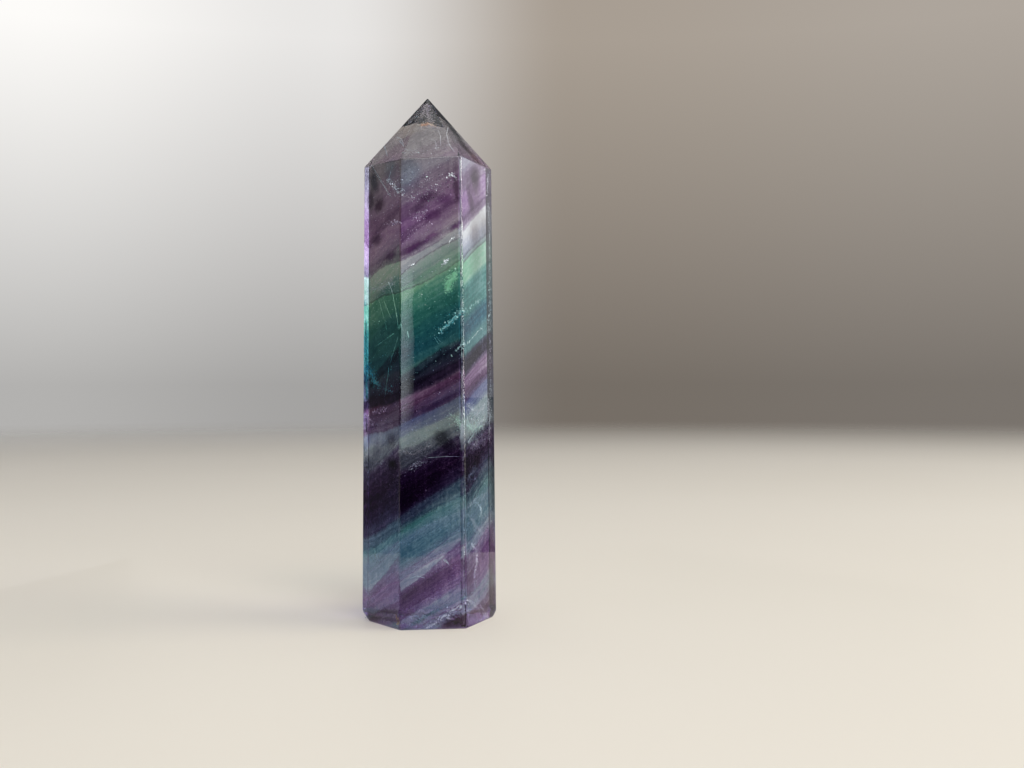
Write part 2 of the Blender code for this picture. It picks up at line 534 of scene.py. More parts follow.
# From the base up: the level where a zone starts, its climb to the right, how soft its start is, its pigment
ZONES = (
    (-3.3, 0.58, 0.5, PLUM),
    (-0.3, 0.57, 0.3, PALE_MIST),
    (1.6, 0.56, 0.1, GRAPE),
    (1.8, 0.56, 0.1, PALE_MIST),
    (2.4, 0.55, 0.2, SLATE),
    (3.0, 0.54, 0.2, PALE_MIST),
    (4.4, 0.52, 0.3, GRAPE),
    (6.9, 0.66, 1.0, DEEP_GRAPE),
    (8.8, 0.70, 0.3, MIST),
    (11.2, 0.61, 0.1, GRAPE),
    (11.45, 0.61, 0.2, HAZE),
    (12.5, 0.57, 0.8, SLATE),
    (15.8, 0.56, 0.6, BLUE_GREY),
    (17.5, 0.58, 0.6, SEA_GREEN),
    (19.2, 0.64, 0.9, INDIGO),
    (21.8, 0.72, 1.0, MIDNIGHT),
    (25.6, 0.60, 1.2, DUSK),
    (27.6, 0.50, 1.4, CHARCOAL),
    (30.2, 0.32, 1.8, SAGE),
    (33.8, 0.50, 0.8, BLUE_LILAC),
    (36.1, 0.52, 0.6, PLUM),
    (37.4, 0.52, 0.4, ROSE),
    (38.9, 0.52, 0.2, PLUM),
    (39.1, 0.52, 0.3, ROSE),
    (40.2, 0.52, 0.9, NIGHT),
    (42.6, 0.54, 1.0, STEEL),
    (45.5, 0.56, 0.8, DEEP_SEA),
    (48.6, 0.56, 1.4, TEAL),
    (54.3, 0.56, 1.6, LEAF),
    (58.5, 0.57, 0.1, SHADOW),
    (58.8, 0.57, 0.2, FLINT),
    (59.9, 0.58, 0.5, ASH),
    (61.4, 0.60, 0.6, CLEAR),
    (63.9, 0.64, 0.4, DARK_VIOLET),
    (65.6, 0.62, 1.4, VIOLET),
    (69.8, 0.56, 1.8, DUSKY_VIOLET),
    (72.6, 0.58, 1.2, LILAC),
    (77.6, 0.50, 2.0, SMOKE),
    (82.6, 0.30, 1.6, AMBER),
)
FIRST_PIGMENT = GRAPE


def growth_colour_group():
    """A point's height in the growth to the colour of its zone. Each zone is laid over the ones before it."""
    group, given, result = new_group(
        "growth_colour", {"Height": "Float", "Across": "Float"}, {"Color": "Color"}
    )
    colour = FIRST_PIGMENT
    for start, climb, softness, pigment in ZONES:
        level = maths(group, "MULTIPLY_ADD", given["Across"], -climb, given["Height"])
        edge = ramp_between(group, level, start - softness / 2.0, start + softness / 2.0)
        colour = mix(group, edge, colour, pigment)
    fill(group, result, {"Color": colour})
    return group


GROWTH_COLOUR = growth_colour_group()
print("growth zones", len(ZONES) + 1)

# %% [markdown]
# ## Uneven colour inside a zone
#
# No zone is one even tint. Each is a stack of hair-thin layers, some with more colour than others, and the
# colour also clouds, streaks and clots across them. All of that is more or less of the same colour, so it is
# one number, a density, and a Gamma node applies it: raising what a filter lets through to a power is the
# same as making the filter that many times as thick.

# %% How dense the colour is at a place
# The colour thins to the right: painted light, for the light that comes into the stone from the right
PAINTED_LIGHT_TO_THE_RIGHT = 0.05
LEAST_DENSITY = 0.1
# Each noise: its scale for each millimetre, its detail, its roughness and its distortion
CLOUD_NOISE = (0.35, 6.0, 0.68, 0.6)
STREAK_NOISE = (1.0, 4.0, 0.6, 0.8)
GRAIN_NOISE = (2.6, 4.0, 0.65)
LINE_NOISE = {"Scale": 1.3, "Detail": 4.0, "Roughness": 0.7}
# Streaks run steeply, across the layers
STREAK_TURN = (0.35, 0.45, 0.0)
STREAK_STRETCH = (1.6, 1.6, 0.22)


def colour_density_group():
    """The level and the place in millimetres to a density around 1, thinned to the right as painted light."""
    amounts = ("Lines", "Clouds", "Streaks", "Grain")
    group, given, result = new_group(
        "colour_density",
        {"Level": "Float", "Millimetres": "Vector", **dict.fromkeys(amounts, "Float")},
        {"Density": "Float"},
    )
    place = given["Millimetres"]
    layers = {"W": given["Level"], **LINE_NOISE}
    lines = add(group, "ShaderNodeTexNoise", layers, noise_dimensions="1D").outputs["Fac"]
    clouds = noise_of(group, place, *CLOUD_NOISE)
    steep = {"Vector": place, "Rotation": STREAK_TURN, "Scale": STREAK_STRETCH}
    streaks = noise_of(group, add(group, "ShaderNodeMapping", steep).outputs["Vector"], *STREAK_NOISE)
    grain = noise_of(group, place, *GRAIN_NOISE)
    across = add(group, "ShaderNodeSeparateXYZ", {0: place}).outputs["X"]
    # Painted light: less colour to the right, where the light comes in
    density = maths(group, "MULTIPLY_ADD", across, -PAINTED_LIGHT_TO_THE_RIGHT, 1.0)
    for wave, amount in zip((lines, clouds, streaks, grain), amounts):
        centred = maths(group, "SUBTRACT", wave, 0.5)
        density = maths(group, "MULTIPLY_ADD", centred, given[amount], density)
    fill(group, result, {"Density": maths(group, "MAXIMUM", density, LEAST_DENSITY)})
    return group


COLOUR_DENSITY = colour_density_group()

# %% [markdown]
# ## The stone
#
# The ground solid in the frame has the right faces, edges and chips, but its mesh is loose triangles. A copy
# of it, with its doubles merged and its flat faces dissolved to single faces, is the same stone ready to be
# worked on. Copying it rather than drawing it again means that it can't drift from the frame.

# %% A clean copy of the ground solid
SAME_POINT = 0.005 * MM
SAME_FACE = math.radians(0.4)
BIG_FACE = 8.0 * MM * MM


def clean_copy(node_name, name):
    """The frame's node as one closed mesh in the row's frame, with flat faces that are single faces."""
    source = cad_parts[node_name]
    body = bmesh.new()
    body.from_mesh(source.data)
    body.transform(source.matrix_world)
    bmesh.ops.remove_doubles(body, verts=body.verts, dist=SAME_POINT)
    bmesh.ops.dissolve_limit(body, angle_limit=SAME_FACE, verts=body.verts, edges=body.edges)
    return piece_from(name, body)


stone = clean_copy(NODE, "polished_stone")
# A point and the outward normal of each large face
FACES = [(p.center.copy(), p.normal.copy()) for p in stone.data.polygons if p.area > BIG_FACE]
print("large faces", len(FACES))

# %% [markdown]
# ## Bruised edges
#
# Fluorite is soft, so a fine edge never stays perfect: handling leaves it with tiny bruises that break up the
# bright line along it. The eased edges are cut across at many heights, and the points in the middle of the
# easing are then pushed in a little, here more and there less. Points on the flat faces stay where they are.
# The easing itself is shaded round and its borders sharp, so the flat faces stay truly flat.

# %% Bruises along the eased edges
CUT_STEP = 0.8 * MM
CUT_THICKNESS = 1e-7
BRUISE_DEPTH = 0.06 * MM
BRUISE_LENGTH = 1.8 * MM
BRUISE_FROM = 0.16
FINE_SHARE = 0.6
FINE_LENGTH_SHARE = 0.3
FINE_SHIFT = Vector((7.0, 3.0, 1.0))
FLAT = 0.9999


def inside_depth(place):
    """How far inside the stone's flat faces a place lies. It is negative outside them."""
    return min((point - place).dot(normal) for point, normal in FACES)


def bruise_edges(piece):
    """Cuts the piece across at even heights, dents its eased edges and shades them round."""
    body = bmesh.new()
    body.from_mesh(piece.data)
    top = max(v.co.z for v in body.verts)
    for step in range(1, int(top / CUT_STEP)):
        geometry = body.verts[:] + body.edges[:] + body.faces[:]
        level = {"plane_co": (0.0, 0.0, step * CUT_STEP), "plane_no": (0.0, 0.0, 1.0)}
        bmesh.ops.bisect_plane(body, geom=geometry, dist=CUT_THICKNESS, **level)
    body.normal_update()
    flat = {f for f in body.faces if any(f.normal.dot(normal) > FLAT for _, normal in FACES)}
    dented = 0
    for v in body.verts:
        if any(f in flat for f in v.link_faces):
            continue
        coarse = noise.noise(v.co / BRUISE_LENGTH)
        fine = noise.noise(v.co / (BRUISE_LENGTH * FINE_LENGTH_SHARE) + FINE_SHIFT)
        push = max(0.0, coarse + FINE_SHARE * fine - BRUISE_FROM) * BRUISE_DEPTH
        v.co -= v.normal * push
        dented += push > 0.0
    for face in body.faces:
        face.smooth = face not in flat
    for edge in body.edges:
        edge.smooth = not any(f in flat for f in edge.link_faces)
    body.to_mesh(piece.data)
    body.free()
    print(piece.name, "dented points", dented, "faces", len(piece.data.polygons))


bruise_edges(stone)

# %% [markdown]
# ## Placing things under a face
#
# Flaws and clots of colour lie where the stone shows them. The lesson gives each one as it is seen, by a
# place in the picture and a depth under a face. The helper follows the camera's line of sight to that face
# and bends it there, as the stone does, so the flaw is truly inside and shows in the right place.

# %% Where something lies, from where the camera sees it
FLUORITE_IOR = 1.434
IMAGE_WIDTH = 1024.0
IMAGE_HEIGHT = 768.0
FOCAL_PIXELS = LENS / SENSOR * IMAGE_WIDTH


def beneath(pixel, depth, face):
    """The place a depth in millimetres beneath a face, seen at a pixel of the 1024 by 768 picture."""
    point, normal = face
    across, down = pixel
    line = Vector((across - IMAGE_WIDTH / 2, IMAGE_HEIGHT / 2 - down, -FOCAL_PIXELS)).normalized()
    sight = CAMERA_POSE.to_3x3() @ line
    meets = CAMERA_PLACE + sight * ((point - CAMERA_PLACE).dot(normal) / sight.dot(normal))
    slant = -sight.dot(normal)
    straightened = math.sqrt(1.0 - (1.0 - slant * slant) / FLUORITE_IOR**2)
    bent = sight / FLUORITE_IOR + normal * (slant / FLUORITE_IOR - straightened)
    return meets + bent * (depth * MM / straightened)


def face_towards(azimuth, lift=0.0):
    """The stone's large face that looks most nearly in a direction."""
    want = away_from_stone(azimuth, lift)
    return max(FACES, key=lambda face: face[1].dot(want))


# The azimuths in degrees that the front, left and right sides face, and how far up their tip faces look
SEEN_SIDES = (-90.0, 211.0, -31.0)
TIP_LIFT = 40.0
FRONT, LEFT, RIGHT = [face_towards(azimuth) for azimuth in SEEN_SIDES]
TIP_FRONT, TIP_LEFT, TIP_RIGHT = [face_towards(azimuth, TIP_LIFT) for azimuth in SEEN_SIDES]
print("front face at", [round(c / MM, 2) for c in FRONT[0]])

# %% [markdown]
# ## Clots of colour
#
# Here and there the pigment has gathered into smudges that lie across the layers, darker or deeper than what
# is round them. A smudge is a soft ball of space: inside it the colour is multiplied by a tint. A noise bends
# the space first, which makes every smudge ragged.

# %% Clots
# Each clot: the face it lies under, its middle in the picture, its half-sizes across, away and up in
# millimetres, how steeply its across axis climbs to the right in degrees, and its tint
DARK = (0.03, 0.03, 0.035)
DEEP = (0.22, 0.08, 0.26)
GREY = (0.25, 0.22, 0.26)
BLUISH = (0.68, 0.92, 1.00)
EMBER = (1.00, 0.45, 0.22)
CLOTS = (
    (LEFT, (374, 182), (1.3, 2.0, 2.8), 20, (0.06, 0.065, 0.085)),
    (LEFT, (379, 205), (1.9, 2.0, 1.5), 20, (0.07, 0.035, 0.06)),
    (LEFT, (371, 200), (1.0, 1.5, 2.2), 0, (0.10, 0.08, 0.11)),
    (LEFT, (377, 240), (2.0, 1.8, 1.1), 10, (0.16, 0.11, 0.17)),
    (LEFT, (391, 171), (1.8, 2.0, 2.2), 0, BLUISH),
    (FRONT, (410, 172), (2.0, 2.0, 2.4), 0, BLUISH),
    (FRONT, (400, 186), (2.2, 2.0, 1.4), 0, (0.6, 0.75, 0.8)),
    (FRONT, (427, 198), (1.8, 2.0, 0.9), 30, (0.22, 0.15, 0.24)),
    (FRONT, (418, 208), (1.3, 2.0, 0.8), 30, (0.25, 0.18, 0.28)),
    (FRONT, (457, 190), (0.7, 2.0, 2.4), 0, (0.18, 0.15, 0.18)),
    (FRONT, (444, 200), (1.6, 2.0, 1.2), 10, (0.42, 0.28, 0.46)),
    (FRONT, (432, 216), (2.0, 2.0, 1.1), 20, (0.42, 0.24, 0.45)),
    (FRONT, (413, 248), (2.6, 2.0, 0.9), 33, DEEP),
    (FRONT, (430, 238), (2.6, 2.0, 0.6), 34, (0.35, 0.16, 0.38)),
    (FRONT, (456, 226), (1.3, 2.0, 0.6), 45, DEEP),
    (LEFT, (390, 256), (2.2, 2.0, 1.0), 20, (0.30, 0.14, 0.33)),
    (FRONT, (442, 438), (1.7, 2.0, 1.6), 20, (0.07, 0.065, 0.075)),
    (FRONT, (449, 447), (1.3, 2.0, 1.0), 20, (0.20, 0.18, 0.22)),
    (LEFT, (392, 464), (1.4, 2.0, 1.0), 10, DARK),
    (LEFT, (391, 440), (1.5, 2.0, 1.5), 25, GREY),
    (LEFT, (377, 447), (2.2, 2.0, 1.5), 25, (0.50, 0.46, 0.56)),
    (FRONT, (410, 440), (2.0, 2.0, 1.2), 25, (0.60, 0.60, 0.68)),
    (RIGHT, (475, 176), (2.7, 2.0, 1.9), 0, (0.20, 0.17, 0.19)),
    (RIGHT, (470, 196), (0.8, 2.0, 3.2), 14, (0.16, 0.12, 0.15)),
    (RIGHT, (475, 234), (2.4, 2.0, 1.6), 50, (0.50, 0.46, 0.46)),
    (RIGHT, (478, 462), (1.2, 2.0, 1.6), 0, (0.30, 0.13, 0.22)),
    (RIGHT, (493, 482), (1.2, 2.0, 7.5), 0, (0.18, 0.18, 0.18)),
    (RIGHT, (476, 222), (3.6, 3.0, 13.0), 0, (0.50, 0.47, 0.46)),
    (RIGHT, (475, 185), (2.6, 2.0, 2.2), 0, (0.26, 0.25, 0.24)),
    (RIGHT, (485, 227), (1.6, 2.0, 2.6), 0, (0.45, 0.42, 0.40)),
    (RIGHT, (492, 560), (1.1, 2.0, 9.0), 0, (0.45, 0.40, 0.32)),
    (RIGHT, (491, 592), (1.2, 2.0, 6.0), 0, (0.50, 0.46, 0.42)),
    (LEFT, (366, 178), (1.0, 1.5, 3.2), 0, (0.30, 0.28, 0.33)),
    (LEFT, (366, 286), (1.0, 1.5, 1.8), 0, (0.50, 0.58, 0.58)),
    (FRONT, (453, 623), (2.6, 2.0, 1.3), 15, (0.10, 0.035, 0.13)),
    (LEFT, (370, 620), (2.4, 2.0, 1.3), 0, (0.22, 0.17, 0.24)),
    (TIP_FRONT, (433, 108), (2.2, 2.0, 2.2), 0, (0.8, 0.7, 0.85)),
    (TIP_FRONT, (424.5, 124.5), (0.9, 1.0, 0.45), 20, EMBER),
    (TIP_RIGHT, (453.0, 130), (1.0, 2.4, 3.6), 38, (0.02, 0.025, 0.024)),
    (TIP_RIGHT, (463.0, 145), (1.2, 2.4, 2.6), 40, (0.06, 0.045, 0.05)),
    (TIP_RIGHT, (474, 157), (1.0, 2.4, 2.0), 42, (0.30, 0.14, 0.16)),
)
CLOT_CORE = 0.35
CLOT_RIM = 1.35
CLOT_RAGGEDNESS = 1.8
# The scale, detail and roughness of the noise that makes them ragged
CLOT_NOISE = (0.9, 5.0, 0.7)


def clots_group():
    """A colour and a place in millimetres to the colour with its clots."""
    group, given, result = new_group(
        "clots", {"Color": "Color", "Millimetres": "Vector"}, {"Color": "Color"}
    )
    place = given["Millimetres"]
    bend = noise_of(group, place, *CLOT_NOISE, output="Color")
    centred = vector_maths(group, "SUBTRACT", {0: bend, 1: (0.5, 0.5, 0.5)})
    scaled = vector_maths(group, "SCALE", {0: centred, "Scale": CLOT_RAGGEDNESS})
    ragged = vector_maths(group, "ADD", {0: place, 1: scaled})
    colour = given["Color"]
    for face, pixel, sizes, climb, tint in CLOTS:
        middle = beneath(pixel, 0.0, face) / MM
        turn = (0.0, math.radians(-climb), 0.0)
        own = {"Vector": ragged, "Location": middle, "Rotation": turn, "Scale": sizes}
        local = add(group, "ShaderNodeMapping", own, vector_type="TEXTURE").outputs["Vector"]
        away = vector_maths(group, "LENGTH", {0: local}, "Value")
        amount = fade_between(group, away, CLOT_CORE, CLOT_RIM)
        colour = mix(group, amount, colour, tint, blend="MULTIPLY")
    fill(group, result, {"Color": colour})
    return group


COLOUR_CLOTS = clots_group()
print("clots", len(CLOTS))

# %% [markdown]
# ## The polished, banded, see-through finish
#
# Fluorite bends light less than glass does: its index is 1.434. Part of the colour sits in the Base Color,
# which filters light where it goes in and where it comes out, so both the near and the far side of each band
# show. The transmission, the index and the absorption are plain numbers, as they are for any clear stone.

# %% The fluorite material
# How much of a zone's colour the surface carries. The rest is absorbed on the way through the zone's depth
SURFACE_SHARE = 0.45
UNEVENNESS = {"Lines": 2.0, "Clouds": 2.4, "Streaks": 1.6, "Grain": 1.8}
# Duller smears in the polish: the scale and detail of their noise, where in it they lie, how much rougher
SMEAR_NOISE = (0.22, 4.0)
SMEAR_FROM = 0.55
SMEAR_TO = 0.80
SMEAR_ROUGHNESS = 0.06
# The lap leaves each face very slightly wavy
SWELL_NOISE = (0.16, 1.0)
SWELL_STRENGTH = 0.2
SWELL_HEIGHT = 0.06 * MM


def zone_colour(tree, growth):
    """The colour of the zone that a place lies in."""
    return use_group(tree, GROWTH_COLOUR, {"Height": growth["Height"], "Across": growth["Across"]})["Color"]


def fluorite_material(name, polish):
    """Clear fluorite with its growth zones. Polish is the roughness where the surface is at its best."""
    material, tree, shader = new_material(name)
    growth = use_group(tree, GROWTH_LEVEL, {"Vector": place_on_piece(tree), "Ripple": RIPPLE_HEIGHT})
    place = growth["Millimetres"]
    where = {"Level": growth["Level"], "Millimetres": place}
    density = use_group(tree, COLOUR_DENSITY, {**where, **UNEVENNESS})["Density"]
    share = maths(tree, "MULTIPLY", density, SURFACE_SHARE)
    banded = add(tree, "ShaderNodeGamma", {"Color": zone_colour(tree, growth), "Gamma": share})
    parts = {"Color": banded.outputs["Color"], "Millimetres": place}
    dull = ramp_between(tree, noise_of(tree, place, *SMEAR_NOISE), SMEAR_FROM, SMEAR_TO)
    swell = noise_of(tree, place, *SWELL_NOISE)
    wavy = {"Strength": SWELL_STRENGTH, "Distance": SWELL_HEIGHT, "Height": swell}
    fill(tree, shader, {
        "Base Color": use_group(tree, COLOUR_CLOTS, parts)["Color"],
        "Roughness": maths(tree, "MULTIPLY_ADD", dull, SMEAR_ROUGHNESS, polish),
        "Normal": add(tree, "ShaderNodeBump", wavy).outputs["Normal"],
        "IOR": FLUORITE_IOR,
        "Transmission Weight": 1.0,
    })
    return material


FACE_POLISH = 0.006
EDGE_POLISH = 0.26
stone.data.materials.append(fluorite_material("banded_fluorite", FACE_POLISH))
stone.data.materials.append(fluorite_material("banded_fluorite_edges", EDGE_POLISH))
for polygon in stone.data.polygons:
    polygon.material_index = int(polygon.use_smooth)
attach(stone, "root")
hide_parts(NODE)
# Clear stone lets the lamps' light through to its flaws and to the floor. The zones inside still shade both
stone.visible_shadow = False

# %% [markdown]
# ## The depth of the colour zones
#
# Colour on the surface alone would look like a printed film. In the real stone each layer of colour runs
# right through, and light darkens with every millimetre of it that it crosses. So each zone is also a closed
# body inside the stone: a wavy slab between two growth levels, cut off by the stone's own faces a hair inside
# them. It has no surface of its own, only an absorption, so nothing reflects at its edge.

# %% A piece of the stone's inside
def finish_piece(name, body, material):
    """Makes a mesh of the body, as a piece that rides with the stone."""
    piece = piece_from(name, body)
    piece.data.materials.append(material)
    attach(piece, "root")
    return piece


def absorbing_material(name, through, depth):
    """A body that lets the given share of each colour through a depth of it."""
    strengths = [-math.log(share) / depth for share in through]
    density = max(strengths)
    material, tree = empty_material(name)
    colour = tuple(1.0 - strength / density for strength in strengths)
    volume = add(tree, "ShaderNodeVolumeAbsorption", {"Color": colour_of(colour), "Density": density})
    add(tree, "ShaderNodeOutputMaterial", {"Volume": volume.outputs["Volume"]})
    return material


# %% A wavy slab between two growth levels
SLAB_REACH = 13.0 * MM
SLAB_CELLS = 14
# The gap between two zones, in millimetres, and how far inside the faces they end
ZONE_GAP = 0.02
ZONE_INSET = 0.20 * MM
ZONE_DEPTH = 20.0 * MM


def cut_flat(body, point, normal):
    """Cuts away what lies outside a plane and closes the cut."""
    geometry = body.verts[:] + body.edges[:] + body.faces[:]
    cut = bmesh.ops.bisect_plane(
        body, geom=geometry, dist=CUT_THICKNESS, plane_co=point, plane_no=normal, clear_outer=True
    )
    edges = [e for e in cut["geom_cut"] if isinstance(e, bmesh.types.BMEdge)]
    bmesh.ops.edgenet_fill(body, edges=edges)


def wavy_slab(low, low_climb, high, high_climb):
    """A closed body between two growth levels in millimetres, cut to the stone's faces."""
    body = bmesh.new()
    bmesh.ops.create_grid(body, x_segments=SLAB_CELLS, y_segments=SLAB_CELLS, size=SLAB_REACH)
    bottom = list(body.verts)
    extruded = bmesh.ops.extrude_face_region(body, geom=body.faces[:])["geom"]
    top = [v for v in extruded if isinstance(v, bmesh.types.BMVert)]
    for verts, level, climb in ((bottom, low, low_climb), (top, high - ZONE_GAP, high_climb)):
        for v in verts:
            v.co.z = layer_height(level, climb, v.co.x / MM, v.co.y / MM) * MM
    bmesh.ops.recalc_face_normals(body, faces=body.faces)
    for point, normal in FACES:
        cut_flat(body, point - normal * ZONE_INSET, normal)
    bmesh.ops.recalc_face_normals(body, faces=body.faces)
    return body


# %% One absorbing body for each zone
TOP_LEVEL = (99.0, 0.56)
levels = [(start, climb) for start, climb, _, _ in ZONES] + [TOP_LEVEL]
# Two zones that crossed within the stone would turn the body between them inside out
for (low, low_climb), (high, high_climb) in zip(levels, levels[1:]):
    for across in (-SLAB_REACH / MM, SLAB_REACH / MM):
        assert low + low_climb * across < high + high_climb * across, (low, high)
for index, (_, _, _, pigment) in enumerate(ZONES):
    name = f"zone_{index:02d}"
    through = [share ** (1.0 - SURFACE_SHARE) for share in pigment]
    slab = wavy_slab(*levels[index], *levels[index + 1])
    finish_piece(name, slab, absorbing_material(name, through, ZONE_DEPTH))

# %% [markdown]
# ## Flaws that catch the light
#
# What makes the stone look real is inside it: flecks, veils and needles, most of them small cracks or fluid
# films that mirror the light. Each fleck is a flat closed pyramid with a few faces, because there are
# thousands. They are placed as they lie in the stone: in sheets that follow a crack, or in clouds. Along the
# front right edge some also paint the highlight that the eased edge mirrors.

# %% Flecks
FLECK_SIDES = 5
FLECK_THICKNESS = 0.10
# How much a fleck's size and its width against its length vary
FLECK_SHRINK = (0.5, 1.0)
FLECK_STRETCH = (0.2, 0.8)
# A fleck's middle lies at least this deep
LEAST_INSIDE = 0.12 * MM
# A try shorter than this gives no sure direction
SHORTEST_TRY = 0.05
# How films vary: the scale and detail of the noise, how dark their dull parts are, and how pale banded ones
FILM_NOISE = (900.0, 1.0)
DULL_SHARE = 0.75
BANDED_GAMMA = 0.5
dice = random.Random(11)


def join_batch(body, batch):
    """Moves a small body into a large one. Flecks made in small bodies are made much faster."""
    carrier = bpy.data.meshes.new("batch")
    batch.to_mesh(carrier)
    batch.free()
    body.from_mesh(carrier)
    bpy.data.meshes.remove(carrier)


def add_fleck(body, place, normal, size, stretch, spin, thickness=FLECK_THICKNESS):
    """A flat pyramid, as one fleck."""
    turned = facing(normal) @ Matrix.Rotation(spin, 4, "Z")
    shape = Matrix.Diagonal((size, size * stretch, size * thickness, 1.0))
    bmesh.ops.create_cone(
        body, cap_ends=True, segments=FLECK_SIDES, radius1=1.0, radius2=0.0, depth=1.0,
        matrix=Matrix.Translation(place) @ turned @ shape,
    )


def film_material(name, colour, roughness, metallic, banded=False):
    """A film of crack or fluid inside the stone, brighter here and duller there.

    A banded film also has the colour of the zone that it lies in.
    """
    material, tree, shader = new_material(name)
    place = place_on_piece(tree)
    duller = tuple(c * DULL_SHARE for c in colour)
    uneven = mix(tree, noise_of(tree, place, *FILM_NOISE), colour, duller)
    if banded:
        growth = use_group(tree, GROWTH_LEVEL, {"Vector": place, "Ripple": RIPPLE_HEIGHT})
        paler = add(tree, "ShaderNodeGamma", {"Color": zone_colour(tree, growth), "Gamma": BANDED_GAMMA})
        uneven = mix(tree, 1.0, uneven, paler.outputs["Color"], blend="MULTIPLY")
    fill(tree, shader, {"Base Color": uneven, "Metallic": metallic, "Roughness": roughness})
    return material


def random_direction():
    """A direction with no preference."""
    while True:
        way = Vector([dice.uniform(-1.0, 1.0) for _ in range(3)])
        if SHORTEST_TRY < way.length < 1.0:
            return way.normalized()


def add_cluster(body, face, pixels, depths, count, sizes, scatter, squarely):
    """Flecks along a line of places in the picture, under a face. Sizes and scatter are in millimetres."""
    for _ in range(count):
        along = dice.random() * (len(pixels) - 1)
        step = min(int(along), len(pixels) - 2)
        pixel = [a + (b - a) * (along - step) for a, b in zip(pixels[step], pixels[step + 1])]
        place = beneath(pixel, dice.uniform(*depths), face)
        place += random_direction() * abs(dice.gauss(0.0, scatter)) * MM
        normal = (face[1] * squarely + random_direction() * (1.0 - squarely)).normalized()
        size = dice.uniform(*sizes) * MM * dice.uniform(*FLECK_SHRINK)
        stretch, spin = dice.uniform(*FLECK_STRETCH), dice.uniform(0.0, math.pi)
        if inside_depth(place) > LEAST_INSIDE:
            add_fleck(body, place, normal, size, stretch, spin)


# %% Veils and flecks where the stone shows them
# Each film: its colour and how metallic it looks. Milk is the stone's own cloudiness, in its zone's colour
FILMS = {
    "white": ((0.86, 0.92, 0.95), 0.2),
    "pale": ((0.42, 0.45, 0.50), 0.0),
    "haze": ((0.24, 0.225, 0.26), 0.0),
    "cyan": ((0.28, 0.70, 0.84), 0.0),
    "green": ((0.50, 0.74, 0.62), 0.0),
    "leaf": ((0.34, 0.66, 0.48), 0.0),
    "milk": ((0.60, 0.58, 0.62), 0.0),
    "amber": ((0.52, 0.40, 0.32), 0.0),
    "stain": ((0.60, 0.47, 0.24), 0.0),
}
